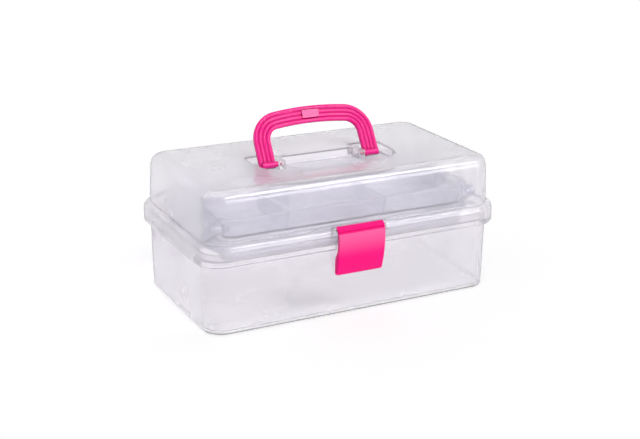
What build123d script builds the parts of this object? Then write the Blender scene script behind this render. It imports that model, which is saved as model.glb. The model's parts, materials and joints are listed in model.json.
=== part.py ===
from build123d import *
from math import atan, cos, hypot, radians, sin, tan
import os

# Clear craft storage box with a hinged lid, two lifting trays, a folding handle and a front clasp.
# Millimetres. X runs along the length, the front is -Y, the origin is the middle of the underside.

# Base shell
base_length = 320.0
base_depth = 175.4
parting_height = 77.0
base_wall = 2.2
base_floor = 2.5
base_draft = 0.74
corner_radius = 20.8
foot_radius = 2.5
floor_radius = 3.0
lip_reach = 6.4
lip_height = 6.4
lip_radius = 3.4
upstand_height = 5.0
dimple_radius = 4.0
dimple_depth = 0.4
dimple_inset_x = 18.0
dimple_inset_y = 23.7

# Stiffening rib pairs inside the end walls
rib_width = 1.6
rib_reach = 1.5
rib_drop = 11.0
base_rib_y = (2.0, -12.0)
lid_rib_y = (-22.0, -30.0)

# Lid shell
box_height = 142.5
skirt_height = 16.3
skirt_wall = 2.4
shoulder_radius = 8.2
lid_wall = 2.2
lid_draft = 2.7
lid_edge_radius = 11.8
lid_step = 0.1
upstand_gap = 1.5

# Recess for the handle in the top of the lid
well_depth = 9.8
well_length = 154.0
well_front = -51.0
well_front_radius = 40.0
well_back = 6.5
pocket_back = 19.0
pocket_radius = 8.0
well_draft = 5.0
well_floor_radius = 2.0
lug_width = 6.6
lug_nose = 4.6
lug_overlap = 2.0
lug_radius = 3.0
heel_pad_gap = 0.15

# Carrying handle, drawn in its own plane and leaned back
handle_pivot_y = -6.0
handle_pivot_drop = 3.8
handle_lean = 31.5
leg_spacing = 119.5
leg_flare = 0.8
handle_rise = 48.6
handle_crown = 5.5
handle_bend = 22.0
band_thickness = 4.8
band_edge = 0.8
band_setback = 2.6
ridge_pitch = 4.4
ridge_radius = 3.0
ridge_height = 0.95
pad_length = 19.0
pad_width = 8.5
pad_height = 0.9
pad_radius = 1.0
heel_length = 3.0
barrel_radius = 2.8
barrel_length = 17.0
barrel_proud = 1.4
trunnion_radius = 1.8
trunnion_length = 4.6
side_gap = 0.3
running_gap = 0.08

# Front clasp, its pin and its catch
clasp_width = 52.0
clasp_axis_out = 1.9
clasp_axis_drop = 2.5
clasp_barrel = 2.7
clasp_pin_radius = 0.9
clasp_pin_overhang = 3.0
cheek_width = 3.6
cheek_radius = 2.6
clasp_drop = 34.0
clasp_shell = 2.0
clasp_corner = 2.4
clasp_edge = 1.2
ridge_reach = 1.3
ridge_drop = 0.4
groove_reach = 1.1
groove_drop = 1.7
face_drop = 2.3
face_top_reach = 2.2
face_reach = 3.4
face_widest_rise = 3.0
face_foot_reach = 3.5
cheek_step_low = 21.0
cheek_step_high = 3.0
pocket_low = 3.0
pocket_top = 9.0
hook_drop = 21.0
hook_radius = 0.9
hook_gap = 0.5
hook_web = 1.4
rear_gap = 1.0
catch_drop = 13.0
catch_reach = 0.85
catch_half_height = 1.4
notch_gap = 1.0
notch_skin = 0.2

# Rear hinge
hinge_offset = 4.1
hinge_spacing = 190.0
knuckle_radius = 3.6
hinge_pin_radius = 1.5
base_knuckle = 9.0
lid_knuckle = 12.0
lid_opening = 105.0

# Trays
tray_end_gap = 2.0
tray_side_gap = 11.7
tray_height = 21.0
tray_gap = 1.0
tray_draft = 13.5
tray_corner = 15.0
tray_wall = 1.8
tray_floor = 1.8
tray_rim = 1.4
tray_rim_height = 1.8
tray_floor_radius = 2.0
divider = 1.5
divider_drop = 1.5
upper_split_y = -5.0
upper_front_splits = (-70.0, 38.0)
upper_back_splits = (-38.0,)
lower_split_y = -5.0
lower_back_splits = (30.0,)

# Lifting arms and their rivets
arm_space = 15.8
arm_thickness = 4.0
arm_half_width = 6.0
arm_recess = 0.8
arm_rail = 3.4
arm_pivot_drop = 20.0
arm_lower_rise = 23.0
arm_swing = 65.0
arm_pitch = 52.0
rear_pivot_inset = 12.0
front_pin_inset = 10.2
pin_below_rim = 10.0
rivet_radius = 2.0
rivet_head_radius = 3.6
rivet_head_height = 1.5
tray_boss_radius = 5.0
tray_boss_depth = 12.6
base_boss_radius = 6.0
rivet_depth = 4.2
arm_gap = 0.3

# Stud on the upper tray and the slotted ear of the lid that it runs in
stud_inset = 38.0
stud_below_rim = 18.2
stud_radius = 2.4
stud_gap = 0.5
slot_trim = 0.1
ear_gap = 3.2
ear_thickness = 3.2
ear_border = 4.0
ear_web = 2.4
ear_rise = 18.7

# Places worked out from the sizes above
half_length = base_length / 2
half_depth = base_depth / 2
lip_front = -half_depth - lip_reach
upstand_top = parting_height + upstand_height
skirt_top = parting_height + skirt_height
hinge_y = half_depth + lip_reach + hinge_offset
band_width = 4 * ridge_pitch
handle_pivot_z = box_height - handle_pivot_drop
well_floor = box_height - well_depth
barrel_inner = leg_spacing / 2 - band_width / 2 - barrel_proud
lug_outer = barrel_inner - 2 * side_gap
clasp_axis_y = -half_depth - clasp_axis_out
clasp_axis_z = skirt_top - clasp_axis_drop
clasp_bottom = parting_height - clasp_drop
clasp_rear = -half_depth - rear_gap
clasp_pin_length = clasp_width + 2 * clasp_pin_overhang
catch_height = parting_height - catch_drop
hook_height = parting_height - hook_drop
notch_half = clasp_width / 2 + notch_gap
arm_plane = half_length - base_wall - arm_space
tray_length = 2 * (arm_plane - tray_end_gap)
tray_depth = base_depth - 2 * tray_side_gap
arm_rear_y = tray_depth / 2 - rear_pivot_inset
arm_front_y = arm_rear_y - arm_pitch
arm_pivot_z = parting_height - arm_pivot_drop
arm_upper_rise = arm_lower_rise + tray_height + tray_gap
arm_reach = arm_front_y + tray_depth / 2 - front_pin_inset
arm_upper_pin = hypot(arm_reach, arm_upper_rise)
arm_lower_pin = arm_upper_pin * arm_lower_rise / arm_upper_rise
lower_tray_top = arm_pivot_z + arm_lower_rise + pin_below_rim
upper_tray_top = arm_pivot_z + arm_upper_rise + pin_below_rim
base_boss_face = arm_plane + arm_thickness + arm_gap
tray_boss_face = arm_plane - arm_gap
stud_y = tray_depth / 2 - stud_inset
stud_z = upper_tray_top - stud_below_rim
ear_plane = arm_plane + arm_thickness + ear_gap
ear_top = skirt_top + ear_rise


def wall_spread(height, draft):
    return height * tan(radians(draft))


def tapered_block(length, depth, radius, low, high, draft):
    """Block with round corners whose walls lean out by the draft, sized at its low end."""
    with BuildSketch(Plane.XY.offset(low)) as plan:
        RectangleRounded(length, depth, radius)
    extrude(plan.sketch, amount=high - low, taper=-draft)


def arm_point(length, swing):
    """Place of a pin on an arm, from the arm's own pivot, as a pair across and up."""
    angle = radians(180 - swing) - atan(arm_upper_rise / arm_reach)
    return length * cos(angle), length * sin(angle)


def stud_path():
    """Places that the tray's stud takes as the lid opens, seen from the lid."""
    start_y, start_z = arm_point(arm_upper_pin, 0)
    places = []
    for step in range(31):
        share = step / 30
        now_y, now_z = arm_point(arm_upper_pin, arm_swing * share)
        back = stud_y + now_y - start_y - hinge_y
        up = stud_z + now_z - start_z - parting_height
        turn = radians(lid_opening * share)
        across = back * cos(turn) - up * sin(turn)
        rise = back * sin(turn) + up * cos(turn)
        places.append((hinge_y + across, parting_height + rise))
    return places


def knuckles(widths_and_centres):
    """Hinge knuckles along the rear hinge line."""
    for centre, width in widths_and_centres:
        with BuildSketch(Plane.YZ.offset(centre - width / 2)) as section:
            with Locations((hinge_y, parting_height)):
                Circle(knuckle_radius)
        extrude(section.sketch, amount=width)


def base_knuckle_centres():
    step = lid_knuckle / 2 + side_gap + base_knuckle / 2
    stations = (-hinge_spacing / 2, hinge_spacing / 2)
    return [(station + side * step, base_knuckle) for station in stations for side in (-1, 1)]


def make_base():
    """Lower shell with its lip, rear knuckles, arm bosses and catch."""
    foot_length = base_length - 2 * wall_spread(parting_height, base_draft)
    foot_depth = base_depth - 2 * wall_spread(parting_height, base_draft)
    floor_grow = wall_spread(base_floor, base_draft)
    lip_low = parting_height - lip_height
    wall_at_catch = half_depth - wall_spread(parting_height - catch_height, base_draft)
    with BuildPart() as shell:
        tapered_block(foot_length, foot_depth, corner_radius, 0, upstand_top, base_draft)
        fillet(shell.faces().sort_by(Axis.Z)[0].edges(), foot_radius)
        with BuildSketch(Plane.XY.offset(lip_low)):
            RectangleRounded(
                base_length + 2 * lip_reach, base_depth + 2 * lip_reach, corner_radius + lip_reach
            )
        extrude(amount=lip_height)
        lip_under = shell.faces().filter_by(Axis.Z).sort_by(Axis.Z)[1]
        fillet(lip_under.outer_wire().edges(), lip_radius)
        # Rear knuckles and the webs that carry them
        knuckles(base_knuckle_centres())
        for centre, width in base_knuckle_centres():
            with BuildSketch(Plane.YZ.offset(centre - width / 2)):
                with BuildLine():
                    Polyline(
                        (hinge_y - hinge_offset - lip_reach / 2, parting_height),
                        (hinge_y, parting_height),
                        (hinge_y, parting_height - knuckle_radius),
                        (hinge_y - hinge_offset - lip_reach / 2, lip_low + lip_height / 4),
                        close=True,
                    )
                make_face()
            extrude(amount=width)
    with BuildPart() as cavity:
        tapered_block(
            foot_length + 2 * floor_grow - 2 * base_wall,
            foot_depth + 2 * floor_grow - 2 * base_wall,
            corner_radius - base_wall,
            base_floor,
            upstand_top + 1,
            base_draft,
        )
        fillet(cavity.faces().sort_by(Axis.Z)[0].edges(), floor_radius)
    with BuildPart() as base:
        add(shell.part)
        # The lip is left out behind the clasp, so that the clasp can rise past it
        with BuildSketch(Plane.XY.offset(lip_low - 1)):
            with Locations((0, -half_depth - notch_skin)):
                Rectangle(2 * notch_half, 2 * lip_reach, align=(Align.CENTER, Align.MAX))
        extrude(amount=lip_height + 1, mode=Mode.SUBTRACT)
        # Catch ridge on the front wall below the notch
        with BuildSketch(Plane.YZ.offset(-clasp_width / 2 + clasp_shell + side_gap)):
            with BuildLine():
                Polyline(
                    (-wall_at_catch + base_wall / 2, catch_height + catch_half_height),
                    (-wall_at_catch, catch_height + catch_half_height),
                    (-wall_at_catch - catch_reach, catch_height),
                    (-wall_at_catch, catch_height - catch_half_height),
                    (-wall_at_catch + base_wall / 2, catch_height - catch_half_height),
                    close=True,
                )
            make_face()
        extrude(amount=clasp_width - 2 * clasp_shell - 2 * side_gap)
        add(cavity.part, mode=Mode.SUBTRACT)
        # Rib pairs on both end walls
        rib_face = half_length - base_wall - wall_spread(parting_height, base_draft)
        for side in (-1, 1):
            with BuildSketch(Plane.XY.offset(base_floor / 2)):
                for rib_y in base_rib_y:
                    with Locations((side * (rib_face - rib_reach / 2 + base_wall / 2), rib_y)):
                        Rectangle(rib_reach + base_wall, rib_width)
            extrude(amount=parting_height - rib_drop - base_floor / 2)
        # Bosses that carry the arm pivots
        for side in (-1, 1):
            for pivot_y in (arm_front_y, arm_rear_y):
                with BuildSketch(Plane.YZ.offset(side * base_boss_face)):
                    with Locations((pivot_y, arm_pivot_z)):
                        Circle(base_boss_radius)
                extrude(amount=side * (half_length - base_wall / 2 - base_boss_face))
                with BuildSketch(Plane.YZ.offset(side * base_boss_face)):
                    with Locations((pivot_y, arm_pivot_z)):
                        Circle(rivet_radius)
                extrude(amount=side * rivet_depth, mode=Mode.SUBTRACT)
        # Hinge pin bore, and shallow round marks under the floor
        with BuildSketch(Plane.YZ.offset(-base_length / 2)):
            with Locations((hinge_y, parting_height)):
                Circle(hinge_pin_radius)
        extrude(amount=base_length, mode=Mode.SUBTRACT)
        with BuildSketch(Plane.XY):
            with GridLocations(base_length - 2 * dimple_inset_x, base_depth - 2 * dimple_inset_y, 2, 2):
                Circle(dimple_radius)
        extrude(amount=dimple_depth, mode=Mode.SUBTRACT)
    return base.part


def well_outline(grow):
    """Plan of the handle recess: a straight front with round corners and a pocket behind each foot."""
    side = well_length / 2 + grow
    front = well_front - grow
    back = well_back + grow
    deep = pocket_back + grow
    inner = lug_outer - lug_width / 2 - grow
    bend = well_front_radius + grow
    turn = pocket_radius + grow
    with BuildLine() as outline:
        Line((-side + bend, front), (side - bend, front))
        RadiusArc((side - bend, front), (side, front + bend), -bend)
        Line((side, front + bend), (side, deep - turn))
        RadiusArc((side, deep - turn), (side - turn, deep), -turn)
        Line((side - turn, deep), (inner, deep))
        Line((inner, deep), (inner, back))
        Line((inner, back), (-inner, back))
        Line((-inner, back), (-inner, deep))
        Line((-inner, deep), (-side + turn, deep))
        RadiusArc((-side + turn, deep), (-side, deep - turn), -turn)
        Line((-side, deep - turn), (-side, front + bend))
        RadiusArc((-side, front + bend), (-side + bend, front), -bend)
    make_face(outline.edges())


def make_lid():
    """Upper shell with its skirt, handle recess, clasp cheeks, slotted ears and rear knuckles."""
    outer_length = base_length - 2 * lid_step
    outer_depth = base_depth - 2 * lid_step
    rise = box_height - skirt_top
    spread = wall_spread(rise, lid_draft)
    skirt_length = base_length + 2 * lip_reach
    skirt_depth = base_depth + 2 * lip_reach
    skirt_corner = corner_radius + lip_reach
    with BuildPart() as shell:
        with BuildSketch(Plane.XY.offset(parting_height)):
            RectangleRounded(skirt_length, skirt_depth, skirt_corner)
        extrude(amount=skirt_height)
        fillet(shell.faces().sort_by(Axis.Z)[-1].edges(), shoulder_radius)
        with BuildSketch(Plane.XY.offset(skirt_top - shoulder_radius / 2)):
            RectangleRounded(outer_length, outer_depth, corner_radius)
        extrude(amount=shoulder_radius / 2)
    with BuildPart() as crown:
        with BuildSketch(Plane.XY.offset(skirt_top)):
            RectangleRounded(outer_length, outer_depth, corner_radius)
        extrude(amount=rise, taper=lid_draft)
        fillet(crown.faces().sort_by(Axis.Z)[-1].edges(), lid_edge_radius)
    with BuildPart() as hollow:
        with BuildSketch(Plane.XY.offset(parting_height)):
            RectangleRounded(
                skirt_length - 2 * skirt_wall, skirt_depth - 2 * skirt_wall, skirt_corner - skirt_wall
            )
        extrude(amount=skirt_height - skirt_wall)
        fillet(hollow.faces().sort_by(Axis.Z)[-1].edges(), shoulder_radius - skirt_wall)
        with BuildSketch(Plane.XY.offset(skirt_top - shoulder_radius)):
            RectangleRounded(
                outer_length - 2 * lid_wall, outer_depth - 2 * lid_wall, corner_radius - lid_wall
            )
        extrude(amount=shoulder_radius)
    with BuildPart() as pod:
        with BuildSketch(Plane.XY.offset(box_height)):
            well_outline(lid_wall)
        extrude(amount=-(well_depth + lid_wall), taper=well_draft)
    with BuildPart() as dome:
        with BuildSketch(Plane.XY.offset(skirt_top)):
            RectangleRounded(
                outer_length - 2 * lid_wall, outer_depth - 2 * lid_wall, corner_radius - lid_wall
            )
        extrude(amount=rise - lid_wall, taper=lid_draft)
        fillet(dome.faces().sort_by(Axis.Z)[-1].edges(), lid_edge_radius - lid_wall)
        add(pod.part, mode=Mode.SUBTRACT)
    with BuildPart() as recess:
        with BuildSketch(Plane.XY.offset(box_height)):
            well_outline(0)
        extrude(amount=-well_depth, taper=well_draft)
        fillet(recess.faces().sort_by(Axis.Z)[0].edges(), well_floor_radius)
    seat_half = clasp_width / 2 + side_gap + cheek_width
    proud = crown_skin(shell.part, seat_half)
    with BuildPart() as lid:
        add(shell.part)
        add(crown.part)
        add(hollow.part, mode=Mode.SUBTRACT)
        add(dome.part, mode=Mode.SUBTRACT)
        add(recess.part, mode=Mode.SUBTRACT)
        # Lugs that hold the handle's trunnions, and the pads its heels stop on
        for side in (-1, 1):
            with BuildSketch(Plane.YZ.offset(side * lug_outer)) as lug:
                with Locations((handle_pivot_y - lug_nose, well_floor - lid_wall / 2)):
                    Rectangle(
                        well_back + lug_overlap - handle_pivot_y + lug_nose,
                        well_depth + lid_wall / 2,
                        align=(Align.MIN, Align.MIN),
                    )
                fillet(lug.vertices().group_by(Axis.Y)[0].sort_by(Axis.Z)[-1], lug_radius)
            extrude(amount=-side * lug_width)
        heel = hypot(heel_length, band_thickness / 2 + band_setback)
        heel_turn = radians(handle_lean) - atan((band_thickness / 2 + band_setback) / heel_length)
        heel_low = handle_pivot_z - heel * cos(heel_turn)
        with BuildSketch(Plane.XY.offset(well_floor - lid_wall / 2)):
            for side in (-1, 1):
                with Locations((side * leg_spacing / 2, handle_pivot_y - heel * sin(heel_turn))):
                    Rectangle(band_width / 2, band_thickness)
        extrude(amount=heel_low - heel_pad_gap - well_floor + lid_wall / 2)
        with BuildSketch(Plane.YZ.offset(-lug_outer)):
            with Locations((handle_pivot_y, handle_pivot_z)):
                Circle(trunnion_radius + running_gap)
        extrude(amount=trunnion_length + side_gap, mode=Mode.SUBTRACT)
        with BuildSketch(Plane.YZ.offset(lug_outer)):
            with Locations((handle_pivot_y, handle_pivot_z)):
                Circle(trunnion_radius + running_gap)
        extrude(amount=-trunnion_length - side_gap, mode=Mode.SUBTRACT)
        # Solid seat and cheeks for the clasp
        with BuildSketch(Plane.YZ.offset(-seat_half)):
            with Locations((lip_front + lip_reach / 2 + skirt_wall / 2, upstand_top + upstand_gap)):
                Rectangle(
                    lip_reach + skirt_wall,
                    skirt_top - skirt_wall / 2 - upstand_top - upstand_gap,
                    align=(Align.CENTER, Align.MIN),
                )
        extrude(amount=2 * seat_half)
        add(proud, mode=Mode.SUBTRACT)
        with BuildSketch(Plane.YZ.offset(-seat_half)):
            with Locations((clasp_axis_y, clasp_axis_z)):
                Circle(cheek_radius)
        extrude(amount=2 * seat_half)
        with BuildSketch(Plane.YZ.offset(-clasp_width / 2 - side_gap)):
            with Locations((clasp_axis_y, clasp_axis_z)):
                Circle(clasp_barrel + side_gap)
        extrude(amount=clasp_width + 2 * side_gap, mode=Mode.SUBTRACT)
        with BuildSketch(Plane.YZ.offset(-clasp_pin_length / 2)):
            with Locations((clasp_axis_y, clasp_axis_z)):
                Circle(clasp_pin_radius)
        extrude(amount=clasp_pin_length, mode=Mode.SUBTRACT)
        # Rib pairs on both end walls
        rib_top = box_height - lid_edge_radius
        rib_face = outer_length / 2 - lid_wall - wall_spread(rib_top - skirt_top, lid_draft)
        for side in (-1, 1):
            with BuildSketch(Plane.XY.offset(skirt_top)):
                for rib_y in lid_rib_y:
                    with Locations((side * (rib_face - rib_reach / 2 + base_wall / 2), rib_y)):
                        Rectangle(rib_reach + base_wall, rib_width)
            extrude(amount=rib_top - skirt_top)
        # Slotted ears that draw the trays up as the lid opens
        path = stud_path()
        reach = stud_radius + stud_gap
        slot_low_y = min(place[0] for place in path) - reach
        slot_high_y = max(place[0] for place in path) + reach
        slot_low_z = min(place[1] for place in path) - reach
        slot_high_z = max(place[1] for place in path) + reach
        slot_y = (slot_low_y + slot_high_y) / 2
        slot_z = (slot_low_z + slot_high_z) / 2
        ear_width = slot_high_y - slot_low_y + 2 * ear_border
        ear_low = slot_low_z - ear_border
        wall_face = outer_length / 2 - wall_spread(ear_top - skirt_top, lid_draft) - lid_wall / 2
        for side in (-1, 1):
            with BuildSketch(Plane.YZ.offset(side * ear_plane)):
                with Locations((slot_y, (ear_low + ear_top) / 2)):
                    RectangleRounded(ear_width, ear_top - ear_low, ear_border)
                with Locations((slot_y, slot_z)):
                    RectangleRounded(
                        slot_high_y - slot_low_y,
                        slot_high_z - slot_low_z,
                        reach - slot_trim,
                        mode=Mode.SUBTRACT,
                    )
            extrude(amount=side * ear_thickness)
            with BuildSketch(Plane.YZ.offset(side * (ear_plane + ear_thickness / 2))):
                for web_side in (-1, 1):
                    with Locations((slot_y + web_side * (ear_width - ear_web) / 2, ear_top - ear_border)):
                        Rectangle(
                            ear_web,
                            ear_top - ear_border - skirt_top,
                            align=(Align.CENTER, Align.MAX),
                        )
                with Locations((slot_y, ear_top - ear_border)):
                    Rectangle(ear_width, ear_web)
            extrude(amount=side * (wall_face - ear_plane - ear_thickness / 2))
        # Rear knuckles and webs
        stations = [(side * hinge_spacing / 2, lid_knuckle) for side in (-1, 1)]
        knuckles(stations)
        for centre, width in stations:
            with BuildSketch(Plane.YZ.offset(centre - width / 2)):
                with BuildLine():
                    Polyline(
                        (hinge_y - hinge_offset - skirt_wall / 2, parting_height),
                        (hinge_y, parting_height),
                        (hinge_y, parting_height + knuckle_radius),
                        (hinge_y - hinge_offset - skirt_wall / 2, parting_height + 2 * knuckle_radius),
                        close=True,
                    )
                make_face()
            extrude(amount=width)
        with BuildSketch(Plane.YZ.offset(-base_length / 2)):
            with Locations((hinge_y, parting_height)):
                Circle(hinge_pin_radius + running_gap)
        extrude(amount=base_length, mode=Mode.SUBTRACT)
    return lid.part


def crown_skin(shell_part, seat_half):
    """What of the clasp seat would stand proud of the skirt's round shoulder."""
    with BuildPart() as block:
        with BuildSketch(Plane.YZ.offset(-seat_half)):
            with Locations((lip_front, upstand_top + upstand_gap)):
                Rectangle(2 * lip_reach, skirt_height, align=(Align.CENTER, Align.MIN))
        extrude(amount=2 * seat_half)
        add(shell_part, mode=Mode.SUBTRACT)
        with BuildSketch(Plane.XY.offset(parting_height)):
            RectangleRounded(
                base_length + 2 * lip_reach - skirt_wall,
                base_depth + 2 * lip_reach - skirt_wall,
                corner_radius + lip_reach - skirt_wall / 2,
            )
        extrude(amount=skirt_height - shoulder_radius, mode=Mode.SUBTRACT)
    return block.part


def make_handle():
    """Arched carrying handle: one fluted band with barrel feet and trunnions."""
    plane = Plane(
        origin=(0, handle_pivot_y, handle_pivot_z),
        x_dir=(1, 0, 0),
        z_dir=(0, -cos(radians(handle_lean)), sin(radians(handle_lean))),
    )
    back = plane.offset(-band_setback)
    top_half = leg_spacing / 2 - wall_spread(handle_rise, leg_flare)
    foot_half = leg_spacing / 2 + wall_spread(heel_length, leg_flare)
    with BuildLine(back) as spine:
        Line((-foot_half, -heel_length), (-top_half, handle_rise - handle_crown))
        ThreePointArc(
            (-top_half, handle_rise - handle_crown),
            (0, handle_rise),
            (top_half, handle_rise - handle_crown),
        )
        Line((top_half, handle_rise - handle_crown), (foot_half, -heel_length))
        fillet(spine.vertices().sort_by(Axis(plane.origin, plane.y_dir))[-2:], handle_bend)
    with BuildPart() as handle:
        start = spine.line @ 0
        along = spine.line % 0
        section_plane = Plane(origin=start, x_dir=plane.z_dir, z_dir=along)
        with BuildSketch(section_plane):
            with Locations((-ridge_height / 2, 0)):
                Rectangle(band_thickness - ridge_height, band_width)
            with Locations((band_thickness / 2 - ridge_radius, 0)):
                with GridLocations(0, ridge_pitch, 1, 4):
                    Circle(ridge_radius)
            RectangleRounded(band_thickness, band_width, band_edge, mode=Mode.INTERSECT)
        sweep(path=spine.line)
        # Smooth pad in the middle of the grip
        with BuildSketch(back.offset(band_thickness / 2 - ridge_height)):
            with Locations((0, handle_rise)):
                RectangleRounded(pad_length, pad_width, pad_radius)
        extrude(amount=ridge_height + pad_height)
        # Barrel feet and trunnions
        for side in (-1, 1):
            with BuildSketch(Plane.YZ.offset(side * barrel_inner)):
                with Locations((handle_pivot_y, handle_pivot_z)):
                    Circle(barrel_radius)
            extrude(amount=side * barrel_length)
            with BuildSketch(Plane.YZ.offset(side * barrel_inner)):
                with Locations((handle_pivot_y, handle_pivot_z)):
                    Circle(trunnion_radius)
            extrude(amount=-side * trunnion_length)
    return handle.part


def clasp_face(inset):
    """Two arcs of the clasp's face, which meet upright at its widest place, moved back by the inset."""
    widest = (lip_front - face_reach + inset, parting_height + face_widest_rise)
    TangentArc(widest, (lip_front - face_top_reach + inset, clasp_axis_z - face_drop), tangent=(0, 1))
    TangentArc(widest, (-half_depth - face_foot_reach + inset, clasp_bottom), tangent=(0, -1))


def clasp_profile():
    """Side outline of the clasp: barrel, ridge, face, and the deep part below the lip."""
    shoulder_y = lip_front + shoulder_radius
    shoulder_z = skirt_top - shoulder_radius
    over = shoulder_radius + side_gap
    seat_y = shoulder_y - over * cos(radians(40))
    seat_z = shoulder_z + over * sin(radians(40))
    front = lip_front - side_gap
    step_high = parting_height - cheek_step_high
    step_low = parting_height - cheek_step_low
    with BuildLine() as outline:
        Polyline(
            (clasp_axis_y, clasp_axis_z),
            (clasp_axis_y, clasp_axis_z + clasp_barrel),
            (lip_front - ridge_reach, clasp_axis_z - ridge_drop),
            (lip_front - groove_reach, clasp_axis_z - groove_drop),
            (lip_front - face_top_reach, clasp_axis_z - face_drop),
        )
        clasp_face(0)
        Polyline(
            (-half_depth - face_foot_reach, clasp_bottom),
            (clasp_rear, clasp_bottom),
            (clasp_rear, step_low),
        )
        step_middle = ((clasp_rear + front) / 2, (step_low + step_high) / 2)
        TangentArc((clasp_rear, step_low), step_middle, tangent=(0, 1))
        TangentArc((front, step_high), step_middle, tangent=(0, -1))
        Line((front, step_high), (front, shoulder_z))
        RadiusArc((front, shoulder_z), (seat_y, seat_z), over)
        Line((seat_y, seat_z), (clasp_axis_y, clasp_axis_z))
    make_face(outline.edges())


def make_clasp():
    """Front clasp, a moulded shell open at the back, with a hook along its inside."""
    wall_at_hook = half_depth - wall_spread(hook_drop, base_draft)
    hook_y = -wall_at_hook - hook_gap - hook_radius
    hook_reach = hook_y - lip_front + face_top_reach - 1.5 * clasp_shell
    inner_half = clasp_width / 2 - clasp_shell
    with BuildPart() as clasp:
        with BuildSketch(Plane.YZ.offset(-clasp_width / 2)):
            clasp_profile()
        extrude(amount=clasp_width)
        low_edges = clasp.edges().filter_by(Axis.Y).group_by(Axis.Z)[0]
        fillet(low_edges, clasp_corner)
        front_face = clasp.faces().sort_by(SortBy.AREA)[-1]
        fillet(front_face.edges().sort_by(Axis.Z)[:-1], clasp_edge)
        with BuildSketch(Plane.YZ.offset(-clasp_width / 2)):
            with Locations((clasp_axis_y, clasp_axis_z)):
                Circle(clasp_barrel)
        extrude(amount=clasp_width)
        # Pockets that leave the face, the cheeks and one middle rib
        for side in (-1, 1):
            with BuildSketch(Plane.YZ.offset(side * clasp_shell / 2)) as pocket:
                with BuildLine() as inside:
                    clasp_face(clasp_shell)
                    Polyline(
                        (-half_depth - face_foot_reach + clasp_shell, clasp_bottom),
                        (-half_depth, clasp_bottom),
                        (-half_depth, clasp_axis_z - face_drop),
                        (lip_front - face_top_reach + clasp_shell, clasp_axis_z - face_drop),
                    )
                make_face(inside.edges())
                with Locations((lip_front, parting_height - pocket_top)):
                    Rectangle(
                        4 * lip_reach,
                        parting_height - pocket_top - clasp_bottom - pocket_low,
                        align=(Align.CENTER, Align.MAX),
                        mode=Mode.INTERSECT,
                    )
            extrude(amount=side * (inner_half - clasp_shell / 2), mode=Mode.SUBTRACT)
        # Hook that passes under the catch ridge, on a web from the face
        with BuildSketch(Plane.YZ.offset(-inner_half)):
            with Locations((hook_y, hook_height)):
                Circle(hook_radius)
                Rectangle(hook_reach, hook_web, align=(Align.MAX, Align.CENTER))
        extrude(amount=2 * inner_half)
        with BuildSketch(Plane.YZ.offset(-clasp_width / 2)):
            with Locations((clasp_axis_y, clasp_axis_z)):
                Circle(clasp_pin_radius + running_gap)
        extrude(amount=clasp_width, mode=Mode.SUBTRACT)
    return clasp.part


def make_tray(top, split_y, front_splits, back_splits, arm_pin, with_studs):
    """Open tray with dividers, a rim, and a boss for each arm rivet."""
    low = top - tray_height
    body_length = tray_length - 2 * tray_rim - 2 * wall_spread(tray_height, tray_draft)
    body_depth = tray_depth - 2 * tray_rim - 2 * wall_spread(tray_height, tray_draft)
    body_corner = tray_corner - tray_rim - wall_spread(tray_height, tray_draft)
    floor_grow = wall_spread(tray_floor, tray_draft)
    offset_y, offset_z = arm_point(arm_pin, 0)
    with BuildPart() as bowl:
        tapered_block(
            body_length + 2 * floor_grow - 2 * tray_wall,
            body_depth + 2 * floor_grow - 2 * tray_wall,
            body_corner + floor_grow - tray_wall,
            low + tray_floor,
            top + 1,
            tray_draft,
        )
        fillet(bowl.faces().sort_by(Axis.Z)[0].edges(), tray_floor_radius)
    with BuildPart() as tray:
        tapered_block(body_length, body_depth, body_corner, low, top, tray_draft)
        with BuildSketch(Plane.XY.offset(top - tray_rim_height)):
            RectangleRounded(tray_length, tray_depth, tray_corner)
        extrude(amount=tray_rim_height)
        for side in (-1, 1):
            for pivot_y in (arm_front_y, arm_rear_y):
                with BuildSketch(Plane.YZ.offset(side * tray_boss_face)):
                    with Locations((pivot_y + offset_y, arm_pivot_z + offset_z)):
                        Circle(tray_boss_radius)
                extrude(amount=-side * tray_boss_depth)
            if with_studs:
                with BuildSketch(Plane.YZ.offset(side * (ear_plane + ear_thickness))):
                    with Locations((stud_y, stud_z)):
                        Circle(stud_radius)
                extrude(amount=-side * (ear_plane - tray_length / 2 + tray_boss_depth))
        add(bowl.part, mode=Mode.SUBTRACT)
        for side in (-1, 1):
            for pivot_y in (arm_front_y, arm_rear_y):
                with BuildSketch(Plane.YZ.offset(side * tray_boss_face)):
                    with Locations((pivot_y + offset_y, arm_pivot_z + offset_z)):
                        Circle(rivet_radius)
                extrude(amount=-side * rivet_depth, mode=Mode.SUBTRACT)
    with BuildPart() as walls:
        with BuildSketch(Plane.XY.offset(low + tray_floor / 2)):
            with Locations((0, split_y)):
                Rectangle(tray_length, divider)
            for split_x in front_splits:
                with Locations((split_x, split_y)):
                    Rectangle(divider, tray_depth, align=(Align.CENTER, Align.MAX))
            for split_x in back_splits:
                with Locations((split_x, split_y)):
                    Rectangle(divider, tray_depth, align=(Align.CENTER, Align.MIN))
        extrude(amount=tray_height - tray_floor / 2 - divider_drop)
        with BuildSketch(Plane.XY.offset(low)):
            RectangleRounded(body_length - tray_wall, body_depth - tray_wall, body_corner)
        extrude(amount=tray_height, taper=-tray_draft, mode=Mode.INTERSECT)
    with BuildPart() as finished:
        add(tray.part)
        add(walls.part)
    return finished.part


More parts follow.
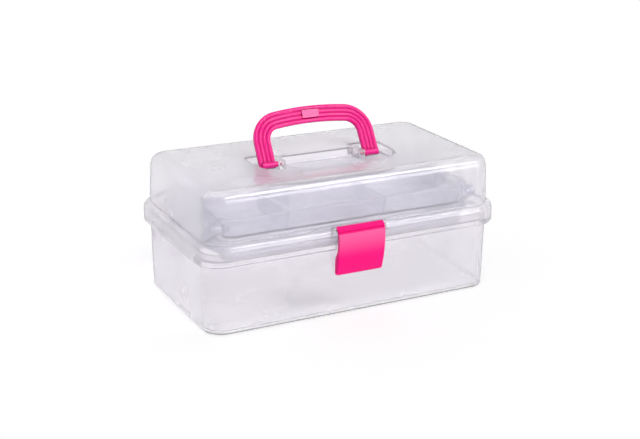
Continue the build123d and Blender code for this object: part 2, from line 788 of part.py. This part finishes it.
def make_arm(pivot_y, side):
    """Flat lifting arm with three rivet holes and a shallow recess along its outer face."""
    lower_y, lower_z = arm_point(arm_lower_pin, 0)
    upper_y, upper_z = arm_point(arm_upper_pin, 0)
    plane = Plane(
        origin=(side * arm_plane, pivot_y, arm_pivot_z),
        x_dir=(0, upper_y, upper_z),
        z_dir=(side, 0, 0),
    )
    with BuildPart() as arm:
        with BuildSketch(plane):
            with Locations((arm_upper_pin / 2, 0)):
                SlotCenterToCenter(arm_upper_pin, 2 * arm_half_width)
            with Locations((0, 0), (arm_lower_pin, 0), (arm_upper_pin, 0)):
                Circle(rivet_radius + running_gap, mode=Mode.SUBTRACT)
        extrude(amount=arm_thickness)
        with BuildSketch(plane.offset(arm_thickness)):
            for start, end in ((0, arm_lower_pin), (arm_lower_pin, arm_upper_pin)):
                with Locations(((start + end) / 2, 0)):
                    SlotOverall(end - start - 2 * arm_half_width - 2 * rivet_radius, 2 * arm_rail)
        extrude(amount=-arm_recess, mode=Mode.SUBTRACT)
    return arm.part


def make_rivets(length, head_outside):
    """Four rivets, one at each arm, pressed into a boss and headed on the arm's other face."""
    offset_y, offset_z = arm_point(length, 0) if length else (0, 0)
    boss = tray_boss_face if head_outside else base_boss_face
    head = arm_plane + arm_thickness + arm_gap if head_outside else arm_plane - arm_gap
    into = rivet_depth if head_outside else -rivet_depth
    lift = rivet_head_height if head_outside else -rivet_head_height
    with BuildPart() as rivets:
        for side in (-1, 1):
            for pivot_y in (arm_front_y, arm_rear_y):
                with BuildSketch(Plane.YZ.offset(side * (boss - into))):
                    with Locations((pivot_y + offset_y, arm_pivot_z + offset_z)):
                        Circle(rivet_radius)
                extrude(amount=side * (head - boss + into))
                with BuildSketch(Plane.YZ.offset(side * head)):
                    with Locations((pivot_y + offset_y, arm_pivot_z + offset_z)):
                        Circle(rivet_head_radius)
                extrude(amount=side * lift)
    return rivets.part


def make_pin(radius, length, centre_x, centre_y, centre_z):
    """Plain round pin lying along X."""
    with BuildPart() as pin:
        with BuildSketch(Plane.YZ.offset(centre_x - length / 2)):
            with Locations((centre_y, centre_z)):
                Circle(radius)
        extrude(amount=length)
    return pin.part


def write(part, name):
    part.label = name
    export_step(part, f"parts/{name}.step")


os.makedirs("parts", exist_ok=True)
hinge_pin_length = lid_knuckle + 2 * side_gap + 2 * base_knuckle
write(make_base(), "base_box")
write(make_lid(), "lid")
write(make_handle(), "carry_handle")
write(make_clasp(), "front_clasp")
write(make_pin(clasp_pin_radius, clasp_pin_length, 0, clasp_axis_y, clasp_axis_z), "clasp_pin")
for hinge_side, side_name in ((-1, "left"), (1, "right")):
    station_x = hinge_side * hinge_spacing / 2
    hinge_pin = make_pin(hinge_pin_radius, hinge_pin_length, station_x, hinge_y, parting_height)
    write(hinge_pin, f"hinge_pin_{side_name}")
    write(make_arm(arm_front_y, hinge_side), f"front_arm_{side_name}")
    write(make_arm(arm_rear_y, hinge_side), f"rear_arm_{side_name}")
lower_tray = make_tray(lower_tray_top, lower_split_y, (), lower_back_splits, arm_lower_pin, False)
write(lower_tray, "lower_tray")
upper_tray = make_tray(
    upper_tray_top, upper_split_y, upper_front_splits, upper_back_splits, arm_upper_pin, True
)
write(upper_tray, "upper_tray")
write(make_rivets(0, False), "base_arm_rivets")
write(make_rivets(arm_lower_pin, True), "lower_tray_rivets")
write(make_rivets(arm_upper_pin, True), "upper_tray_rivets")
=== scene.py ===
import bpy
import json
import math
from mathutils import Matrix, Vector

# Clear craft storage box on a pale floor. Metres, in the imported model's frame.

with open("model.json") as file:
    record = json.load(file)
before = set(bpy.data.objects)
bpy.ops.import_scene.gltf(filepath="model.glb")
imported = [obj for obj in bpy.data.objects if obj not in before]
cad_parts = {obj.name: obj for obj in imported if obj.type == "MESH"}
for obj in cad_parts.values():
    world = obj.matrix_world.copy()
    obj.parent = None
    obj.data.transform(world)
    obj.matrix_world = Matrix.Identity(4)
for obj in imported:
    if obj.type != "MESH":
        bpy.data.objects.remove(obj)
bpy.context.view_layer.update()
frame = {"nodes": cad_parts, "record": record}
mm = 0.001


# sRGB hex to the linear values that a shader wants
def linearFromHex(code):
    parts = [int(code[i : i + 2], 16) / 255 for i in (1, 3, 5)]
    return [c / 12.92 if c <= 0.04045 else ((c + 0.055) / 1.055) ** 2.4 for c in parts] + [1.0]


# One node: settings by input or property name, links by input name or number
def addNode(tree, kind, settings=None, links=None):
    node = tree.nodes.new(kind)
    for key, value in (settings or {}).items():
        if isinstance(key, int) or key in node.inputs:
            node.inputs[key].default_value = value
        else:
            setattr(node, key, value)
    for key, socket in (links or {}).items():
        tree.links.new(socket, node.inputs[key])
    return node


def newMaterial(name):
    material = bpy.data.materials.new(name)
    material.use_nodes = True
    material.node_tree.nodes.clear()
    return material, material.node_tree


# Noise values that the cloudiness runs between, and how many finer layers each noise has
skin = {
    "cloudThin": 0.3,
    "cloudThick": 0.7,
    "cloudDetail": 2.0,
    "waveDetail": 1.5,
    "grainDetail": 3.0,
}


# What every moulded wall shares: slow flow waves with a fine grain as a normal,
# and a cloudy noise that varies its colour and gloss a little
def mouldedSkin(tree, look):
    place = addNode(tree, "ShaderNodeTexCoord").outputs["Object"]
    waves, grain, cloud = [
        addNode(
            tree,
            "ShaderNodeTexNoise",
            {"Scale": 1 / look[part + "Size"], "Detail": skin[part + "Detail"]},
            {"Vector": place},
        ).outputs["Fac"]
        for part in ("wave", "grain", "cloud")
    ]
    height = addNode(
        tree,
        "ShaderNodeMix",
        {"data_type": "FLOAT", "Factor": look["grainShare"]},
        {"A": waves, "B": grain},
    )
    bump = addNode(
        tree,
        "ShaderNodeBump",
        {"Strength": look["bumpStrength"], "Distance": look["bumpDepth"]},
        {"Height": height.outputs["Result"]},
    )
    tint = addNode(
        tree,
        "ShaderNodeMix",
        {
            "data_type": "RGBA",
            6: linearFromHex(look["colour"]),
            7: linearFromHex(look["deepColour"]),
        },
        {0: cloud},
    )
    rough = addNode(
        tree,
        "ShaderNodeMapRange",
        {
            "From Min": skin["cloudThin"],
            "From Max": skin["cloudThick"],
            "To Min": look["roughLow"],
            "To Max": look["roughHigh"],
        },
        {"Value": cloud},
    )
    return bump.outputs["Normal"], tint.outputs[2], rough.outputs["Result"], cloud


# Injection-moulded clear plastic. It isn't glass: what is close behind it shows clearly,
# what is further off blurs, a milky haze lies over it all, and thick rims turn white.
def clearPlastic(name, look):
    material, tree = newMaterial(name)
    normal, tint, rough, cloud = mouldedSkin(tree, look)
    clear = addNode(
        tree,
        "ShaderNodeBsdfPrincipled",
        {"IOR": look["ior"], "Transmission Weight": 1.0, "Specular IOR Level": look["shine"]},
        {"Base Color": tint, "Roughness": rough, "Normal": normal},
    )
    # Half of the haze sends light back and half passes it on
    milkColour = {"Color": linearFromHex(look["milkColour"])}
    front = addNode(tree, "ShaderNodeBsdfDiffuse", milkColour, {"Normal": normal})
    behind = addNode(tree, "ShaderNodeBsdfTranslucent", milkColour, {"Normal": normal})
    milk = addNode(
        tree, "ShaderNodeMixShader", {0: 0.5}, {1: front.outputs[0], 2: behind.outputs[0]}
    )
    share = addNode(
        tree,
        "ShaderNodeMapRange",
        {
            "From Min": skin["cloudThin"],
            "From Max": skin["cloudThick"],
            "To Min": look["milkLow"],
            "To Max": look["milkHigh"],
        },
        {"Value": cloud},
    )
    # A slanted look passes through more of the haze
    facing = addNode(tree, "ShaderNodeLayerWeight", {"Blend": 0.5}).outputs["Facing"]
    longWay = addNode(
        tree,
        "ShaderNodeMapRange",
        {
            "From Min": look["slantStart"],
            "From Max": look["slantFull"],
            "To Max": look["slantHaze"],
        },
        {"Value": facing},
    )
    haze = addNode(
        tree,
        "ShaderNodeMath",
        {"operation": "ADD"},
        {0: share.outputs["Result"], 1: longWay.outputs["Result"]},
    )
    hazy = addNode(
        tree,
        "ShaderNodeMixShader",
        links={0: haze.outputs[0], 1: clear.outputs[0], 2: milk.outputs[0]},
    )
    # Painted shade: where a wall is seen along its length a grey diffuse is mixed in, which
    # draws the thin grey outline
    slant = addNode(
        tree,
        "ShaderNodeMapRange",
        {
            "interpolation_type": "SMOOTHSTEP",
            "From Min": look["outlineShadeStart"],
            "From Max": look["outlineShadeFull"],
        },
        {"Value": facing},
    )
    # Painted shade: low down on the edge that it rests on, and where the wall isn't level, the
    # same grey is mixed in for a dark line along the bottom edge
    surface = addNode(tree, "ShaderNodeNewGeometry")
    place = addNode(tree, "ShaderNodeSeparateXYZ", links={0: surface.outputs["Position"]})
    lean = addNode(tree, "ShaderNodeSeparateXYZ", links={0: surface.outputs["True Normal"]})
    low = addNode(
        tree,
        "ShaderNodeMapRange",
        {"From Min": look["bottomShadeHeight"], "From Max": 0.0, "To Max": look["bottomShadeShare"]},
        {"Value": place.outputs["Z"]},
    )
    level = addNode(tree, "ShaderNodeMath", {"operation": "ABSOLUTE"}, {0: lean.outputs["Z"]})
    beside = addNode(
        tree,
        "ShaderNodeMapRange",
        {"From Min": look["bottomShadeLevel"], "From Max": look["bottomShadeTilted"]},
        {"Value": level.outputs[0]},
    )
    paintedBottomShade = addNode(
        tree,
        "ShaderNodeMath",
        {"operation": "MULTIPLY"},
        {0: low.outputs["Result"], 1: beside.outputs["Result"]},
    )
    grey = addNode(
        tree,
        "ShaderNodeMath",
        {"operation": "MAXIMUM"},
        {0: slant.outputs["Result"], 1: paintedBottomShade.outputs[0]},
    )
    edge = addNode(tree, "ShaderNodeBsdfDiffuse", {"Color": linearFromHex(look["outlineShadeColour"])})
    wall = addNode(
        tree,
        "ShaderNodeMixShader",
        links={0: grey.outputs[0], 1: hazy.outputs[0], 2: edge.outputs[0]},
    )
    # Lamps reach what is behind the wall, a little dimmed
    lamps = addNode(
        tree, "ShaderNodeBsdfTransparent", {"Color": linearFromHex(look["shadowTint"])}
    )
    path = addNode(tree, "ShaderNodeLightPath")
    both = addNode(
        tree,
        "ShaderNodeMixShader",
        links={0: path.outputs["Is Shadow Ray"], 1: wall.outputs[0], 2: lamps.outputs[0]},
    )
    addNode(tree, "ShaderNodeOutputMaterial", links={"Surface": both.outputs[0]})
    return material


# Injection-moulded dyed polypropylene: even hot pink, satin gloss with soft broad highlights
def pinkPlastic(name, look):
    material, tree = newMaterial(name)
    normal, tint, rough = mouldedSkin(tree, look)[:3]
    # Painted shade: the colour is darkened towards a deeper pink down in the grooves, by
    # ambient occlusion
    groove = addNode(
        tree, "ShaderNodeAmbientOcclusion", {"samples": 8, "Distance": look["grooveShadeReach"]}
    )
    opened = addNode(
        tree,
        "ShaderNodeMapRange",
        {"From Min": look["grooveShadeFull"], "From Max": 1.0},
        {"Value": groove.outputs["AO"]},
    )
    # Painted light: the face is painted paler below its top edge, standing in for light that
    # comes through the thin face with nothing behind it
    place = addNode(tree, "ShaderNodeTexCoord").outputs["Object"]
    height = addNode(tree, "ShaderNodeSeparateXYZ", links={0: place}).outputs["Z"]
    thin = addNode(
        tree,
        "ShaderNodeMapRange",
        {
            "interpolation_type": "SMOOTHSTEP",
            "From Min": look["paintedGlowFoot"],
            "From Max": look["paintedGlowTop"],
            "To Max": look["paintedGlowShare"],
        },
        {"Value": height},
    )
    under = addNode(
        tree, "ShaderNodeMath", {"operation": "LESS_THAN", 1: look["paintedGlowEnd"]}, {0: height}
    )
    share = addNode(
        tree,
        "ShaderNodeMath",
        {"operation": "MULTIPLY"},
        {0: thin.outputs["Result"], 1: under.outputs[0]},
    )
    paler = addNode(
        tree,
        "ShaderNodeMix",
        {"data_type": "RGBA", 7: linearFromHex(look["paintedGlowColour"])},
        {0: share.outputs[0], 6: tint},
    )
    grooveShaded = addNode(
        tree,
        "ShaderNodeMix",
        {"data_type": "RGBA", 6: linearFromHex(look["grooveShadeColour"])},
        {0: opened.outputs["Result"], 7: paler.outputs[2]},
    )
    body = addNode(
        tree,
        "ShaderNodeBsdfPrincipled",
        {"IOR": look["ior"], "Specular IOR Level": look["shine"]},
        {"Base Color": grooveShaded.outputs[2], "Roughness": rough, "Normal": normal},
    )
    addNode(tree, "ShaderNodeOutputMaterial", links={"Surface": body.outputs[0]})
    return material


# Drawn steel wire: bright grey with fine marks along the wire
def drawnSteel(name, look):
    material, tree = newMaterial(name)
    place = addNode(tree, "ShaderNodeTexCoord").outputs["Object"]
    along = addNode(
        tree,
        "ShaderNodeMapping",
        {"Scale": (1 / look["markLength"], 1 / look["markWidth"], 1 / look["markWidth"])},
        {"Vector": place},
    )
    marks = addNode(
        tree,
        "ShaderNodeTexNoise",
        {"Scale": 1.0, "Detail": look["markDetail"]},
        {"Vector": along.outputs[0]},
    )
    rough = addNode(
        tree,
        "ShaderNodeMapRange",
        {"To Min": look["roughLow"], "To Max": look["roughHigh"]},
        {"Value": marks.outputs["Fac"]},
    )
    body = addNode(
        tree,
        "ShaderNodeBsdfPrincipled",
        {"Base Color": linearFromHex(look["colour"]), "Metallic": 1.0},
        {"Roughness": rough.outputs["Result"]},
    )
    addNode(tree, "ShaderNodeOutputMaterial", links={"Surface": body.outputs[0]})
    return material


# Lid and base: polypropylene. The real mould grain is finer than 0.1 mm and wouldn't show,
# so it is drawn at 1.2 mm. The waves are as long as the flow marks in a lid.
shellLook = {
    "colour": "#FEFCFE",
    "deepColour": "#FAF8FB",
    # Painted shade: grey for the outline of walls seen along their length, and for the line
    # along the bottom edge
    "outlineShadeColour": "#5E5C68",
    "outlineShadeStart": 0.75,
    "outlineShadeFull": 0.96,
    # Painted shade along the bottom edge that the box rests on
    "bottomShadeHeight": 2.4 * mm,
    "bottomShadeShare": 0.8,
    "bottomShadeLevel": 0.97,
    "bottomShadeTilted": 0.8,
    "milkColour": "#F8F7FB",
    "milkLow": 0.08,
    "milkHigh": 0.125,
    "slantStart": 0.2,
    "slantFull": 0.5,
    "slantHaze": 0.16,
    "shadowTint": "#FDFCFD",
    "ior": 1.49,
    "shine": 0.5,
    "roughLow": 0.13,
    "roughHigh": 0.19,
    "waveSize": 60 * mm,
    "grainSize": 1.2 * mm,
    "grainShare": 0.03,
    "cloudSize": 90 * mm,
    "bumpStrength": 0.2,
    "bumpDepth": 0.5 * mm,
}
# Trays, their arms and rivets: polystyrene, which is stiffer, clearer and a little bluer
trayLook = dict(
    shellLook,
    colour="#F9F8FC",
    deepColour="#F5F4FA",
    milkColour="#F0F4FC",
    ior=1.59,
    roughLow=0.09,
    roughHigh=0.13,
)
# Handle. Its grain is drawn at 0.5 mm for the same reason as the shell's.
gripLook = {
    "colour": "#FA0090",
    "deepColour": "#F50088",
    # Painted shade: deeper pink in the grooves
    "grooveShadeColour": "#A80050",
    "grooveShadeReach": 3.0 * mm,
    "grooveShadeFull": 0.35,
    # Painted light: paler pink below the clasp face's top edge, none on the handle
    "paintedGlowColour": "#FF7FB6",
    "paintedGlowShare": 0.0,
    "paintedGlowFoot": 60 * mm,
    "paintedGlowTop": 84 * mm,
    "paintedGlowEnd": 87.4 * mm,
    "ior": 1.49,
    "shine": 0.32,
    "roughLow": 0.18,
    "roughHigh": 0.22,
    "waveSize": 30 * mm,
    "grainSize": 0.5 * mm,
    "grainShare": 0.3,
    "cloudSize": 25 * mm,
    "bumpStrength": 0.1,
    "bumpDepth": 0.2 * mm,
}
# Clasp: the same plastic from a duller mould, thin enough to let some light through, which is
# painted as a paler colour below the face's top edge
claspLook = dict(
    gripLook,
    colour="#FF0284",
    deepColour="#FF007C",
    # Painted light below the face's top edge, and painted shade in the grooves
    paintedGlowShare=0.47,
    grooveShadeColour="#B00054",
    grooveShadeReach=2.2 * mm,
    shine=0.18,
    roughLow=0.36,
    roughHigh=0.4,
    bumpStrength=0.05,
)
# Hinge pins and clasp pin. Real draw marks are some 0.05 mm wide, and are drawn at 0.2 mm.
steelLook = {
    "colour": "#B9BABD",
    "roughLow": 0.22,
    "roughHigh": 0.38,
    "markLength": 6 * mm,
    "markWidth": 0.2 * mm,
    "markDetail": 3.0,
}


# Each CAD node takes the finish of its record slot
def dressNodes():
    finishes = {
        "clear_shell": clearPlastic("mouldedClearPolypropylene", shellLook),
        "clear_tray": clearPlastic("mouldedClearPolystyrene", trayLook),
        "pink_plastic": pinkPlastic("mouldedPinkPolypropylene", gripLook),
        "steel": drawnSteel("drawnSteelWire", steelLook),
    }
    dullPink = pinkPlastic("satinPinkPolypropylene", claspLook)
    for entry in frame["record"]["subparts"]:
        name = entry["node"]
        slots = frame["nodes"][name].data.materials
        slots.clear()
        slots.append(dullPink if name == "front_clasp" else finishes[entry["material_slot"]])


studio = {
    "floorSize": 24.0,
    "floorColour": "#F4F4F4",
    "floorLift": 0.235,
    "skyColour": "#FFFFFF",
    "skyLight": 0.6,
    # colour, strength, width of the lamp in degrees, azimuth and elevation
    "keySun": ("#FFFFFF", 0.8, 18.0, 36.0, 46.0),
    "frontSun": ("#FFFFFF", 0.85, 30.0, 30.0, 8.0),
    "fillSun": ("#FFFFFF", 0.15, 40.0, -62.0, 42.0),
}


# 1 for rays from the camera, mirrors and clear walls, 0 for rays that light a surface
def seenDirectly(tree):
    path = addNode(tree, "ShaderNodeLightPath")
    first = addNode(
        tree,
        "ShaderNodeMath",
        {"operation": "MAXIMUM"},
        {0: path.outputs["Is Camera Ray"], 1: path.outputs["Is Glossy Ray"]},
    )
    return addNode(
        tree,
        "ShaderNodeMath",
        {"operation": "MAXIMUM"},
        {0: first.outputs[0], 1: path.outputs["Is Transmission Ray"]},
    ).outputs[0]


# Pale matt card that keeps the box's soft shadow
def makeFloor():
    half = studio["floorSize"] / 2
    corners = [(-half, -half, 0), (half, -half, 0), (half, half, 0), (-half, half, 0)]
    mesh = bpy.data.meshes.new("paleFloor")
    mesh.from_pydata(corners, [], [(0, 1, 2, 3)])
    floor = bpy.data.objects.new("paleFloor", mesh)
    bpy.context.scene.collection.objects.link(floor)
    material, tree = newMaterial("paleMattCard")
    matt = addNode(
        tree, "ShaderNodeBsdfDiffuse", {"Color": linearFromHex(studio["floorColour"])}
    )
    lift = addNode(
        tree,
        "ShaderNodeMath",
        {"operation": "MULTIPLY", 1: studio["floorLift"]},
        {0: seenDirectly(tree)},
    )
    glow = addNode(
        tree, "ShaderNodeEmission", {"Color": (1, 1, 1, 1)}, {"Strength": lift.outputs[0]}
    )
    both = addNode(tree, "ShaderNodeAddShader", links={0: matt.outputs[0], 1: glow.outputs[0]})
    addNode(tree, "ShaderNodeOutputMaterial", links={"Surface": both.outputs[0]})
    mesh.materials.append(material)


# Unit vector from the object to a place seen at this azimuth (0 is the front) and elevation
def towards(azimuth, elevation):
    turn, rise = math.radians(azimuth), math.radians(elevation)
    level = math.cos(rise)
    return Vector((math.sin(turn) * level, -math.cos(turn) * level, math.sin(rise)))


def makeSun(name, colour, power, width, azimuth, elevation):
    sun = bpy.data.lights.new(name, "SUN")
    sun.energy = power
    sun.angle = math.radians(width)
    sun.color = linearFromHex(colour)[:3]
    lamp = bpy.data.objects.new(name, sun)
    bpy.context.scene.collection.objects.link(lamp)
    lamp.rotation_mode = "QUATERNION"
    lamp.rotation_quaternion = (-towards(azimuth, elevation)).to_track_quat("-Z", "Y")


# White surroundings at a plain level, a key and a low front lamp from the right,
# and a fill from the left
def makeLight():
    world = bpy.data.worlds.new("whiteStudio")
    bpy.context.scene.world = world
    world.use_nodes = True
    tree = world.node_tree
    tree.nodes.clear()
    strength = addNode(
        tree,
        "ShaderNodeMapRange",
        {"To Min": studio["skyLight"], "To Max": 1.0},
        {"Value": seenDirectly(tree)},
    )
    sky = addNode(
        tree,
        "ShaderNodeBackground",
        {"Color": linearFromHex(studio["skyColour"])},
        {"Strength": strength.outputs["Result"]},
    )
    addNode(tree, "ShaderNodeOutputWorld", links={"Surface": sky.outputs[0]})
    for name in ("keySun", "frontSun", "fillSun"):
        makeSun(name, *studio[name])


lens = {
    "azimuth": -27.058,
    "elevation": 18.857,
    "distance": 1319.6 * mm,
    "aim": (2.27 * mm, 0.0, 69.69 * mm),
    "roll": 0.4017,
    "sensor": 36.0,
    "focal": 70.63,
    "nearest": 50 * mm,
    "furthest": 60.0,
}


# Camera at the photograph's angle, distance and small tilt
def makeCamera():
    data = bpy.data.cameras.new("studioCamera")
    data.sensor_width = lens["sensor"]
    data.lens = lens["focal"]
    data.clip_start = lens["nearest"]
    data.clip_end = lens["furthest"]
    camera = bpy.data.objects.new("studioCamera", data)
    bpy.context.scene.collection.objects.link(camera)
    back = towards(lens["azimuth"], lens["elevation"])
    turn, tilt = math.radians(lens["azimuth"]), math.radians(lens["roll"])
    right = Vector((math.cos(turn), math.sin(turn), 0.0))
    up = back.cross(right)
    tiltedRight = math.cos(tilt) * right + math.sin(tilt) * up
    tiltedUp = math.cos(tilt) * up - math.sin(tilt) * right
    axes = Matrix((tiltedRight, tiltedUp, back)).transposed()
    camera.rotation_mode = "QUATERNION"
    camera.rotation_quaternion = axes.to_quaternion()
    camera.location = Vector(lens["aim"]) + back * lens["distance"]
    bpy.context.scene.camera = camera


bpy.context.scene.view_settings.view_transform = "Standard"
# Many clear walls lie behind each other, so light gets enough passes through them
lightPasses = 32
for limit in ("max_bounces", "transmission_bounces", "transparent_max_bounces"):
    setattr(bpy.context.scene.cycles, limit, lightPasses)
dressNodes()
print("nodes dressed")
makeFloor()
makeLight()
makeCamera()
print("studio ready")
